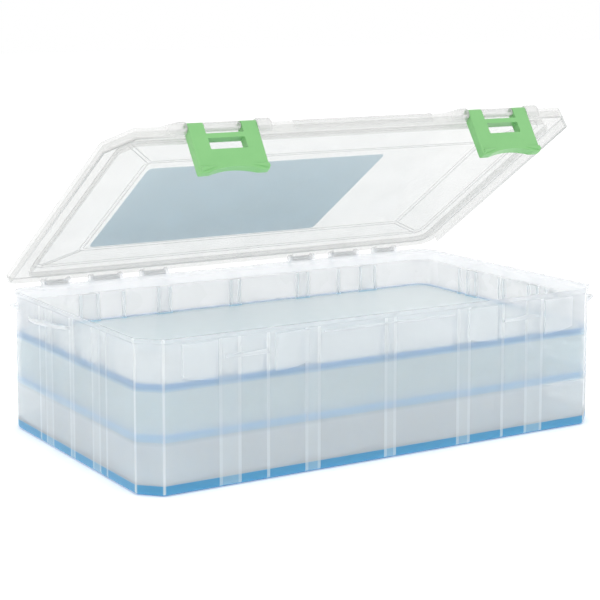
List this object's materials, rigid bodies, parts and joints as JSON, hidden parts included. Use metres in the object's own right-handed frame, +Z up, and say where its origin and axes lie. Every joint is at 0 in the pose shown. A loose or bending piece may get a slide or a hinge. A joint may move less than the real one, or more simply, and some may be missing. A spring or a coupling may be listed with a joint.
{
  "type": "fishing tackle box",
  "caption": "Deep rectangular tackle box in frosted plastic, with gel-lined layers of stacked lift-out trays under a clear hinged lid that shuts with snap latches.",
  "frame": {"origin": "middle of the base box's flat underside, at the mount underside", "axes": "+X to the right along the front wall, the longest extent; +Y back towards the lid hinge; +Z up"},
  "size_m": [0.36, 0.2143, 0.2188],
  "materials": {
    "base_plastic": "frosted translucent polypropylene, satin",
    "base_gel": "soft tacky blue gel, glossy",
    "lower_tray_plastic": "frosted translucent polypropylene, satin",
    "lower_tray_gel": "soft tacky blue gel, glossy",
    "upper_tray_plastic": "frosted translucent polypropylene, satin",
    "upper_tray_gel": "soft tacky blue gel, glossy",
    "lid_plastic": "clear polypropylene, glossy with a faint haze",
    "label_card": "plain printed film label, satin",
    "latch_left_plastic": "moulded green plastic, semi-gloss",
    "latch_right_plastic": "moulded green plastic, semi-gloss"
  },
  "bodies": {
    "base": {"base_box": "base_plastic", "base_gel_mat": "base_gel"},
    "lower_tray": {"lower_tray": "lower_tray_plastic", "lower_tray_gel_mat": "lower_tray_gel"},
    "upper_tray": {"upper_tray": "upper_tray_plastic", "upper_tray_gel_mat": "upper_tray_gel"},
    "lid": {"lid": "lid_plastic", "lid_label": "label_card"},
    "latch_left": {"latch_left": "latch_left_plastic"},
    "latch_right": {"latch_right": "latch_right_plastic"}
  },
  "joints": [
    {"name": "lid_hinge", "type": "hinge", "parent": "base", "child": "lid", "pos_m": [0, 0.107, 0.0955], "axis": [-1, 0, 0], "range_deg": [-33.6, 76.4]},
    {"name": "latch_left_hinge", "type": "hinge", "parent": "lid", "child": "latch_left", "pos_m": [-0.105, -0.07147, 0.21467], "axis": [-1, 0, 0], "range_deg": [0, 100]},
    {"name": "latch_right_hinge", "type": "hinge", "parent": "lid", "child": "latch_right", "pos_m": [0.105, -0.07147, 0.21467], "axis": [-1, 0, 0], "range_deg": [0, 100]},
    {"name": "lower_tray_lift", "type": "slide", "parent": "base", "child": "lower_tray", "axis": [0, 0, 1], "range_m": [0, 0.003]},
    {"name": "upper_tray_lift", "type": "slide", "parent": "lower_tray", "child": "upper_tray", "axis": [0, 0, 1], "range_m": [0, 0.005]}
  ]
}
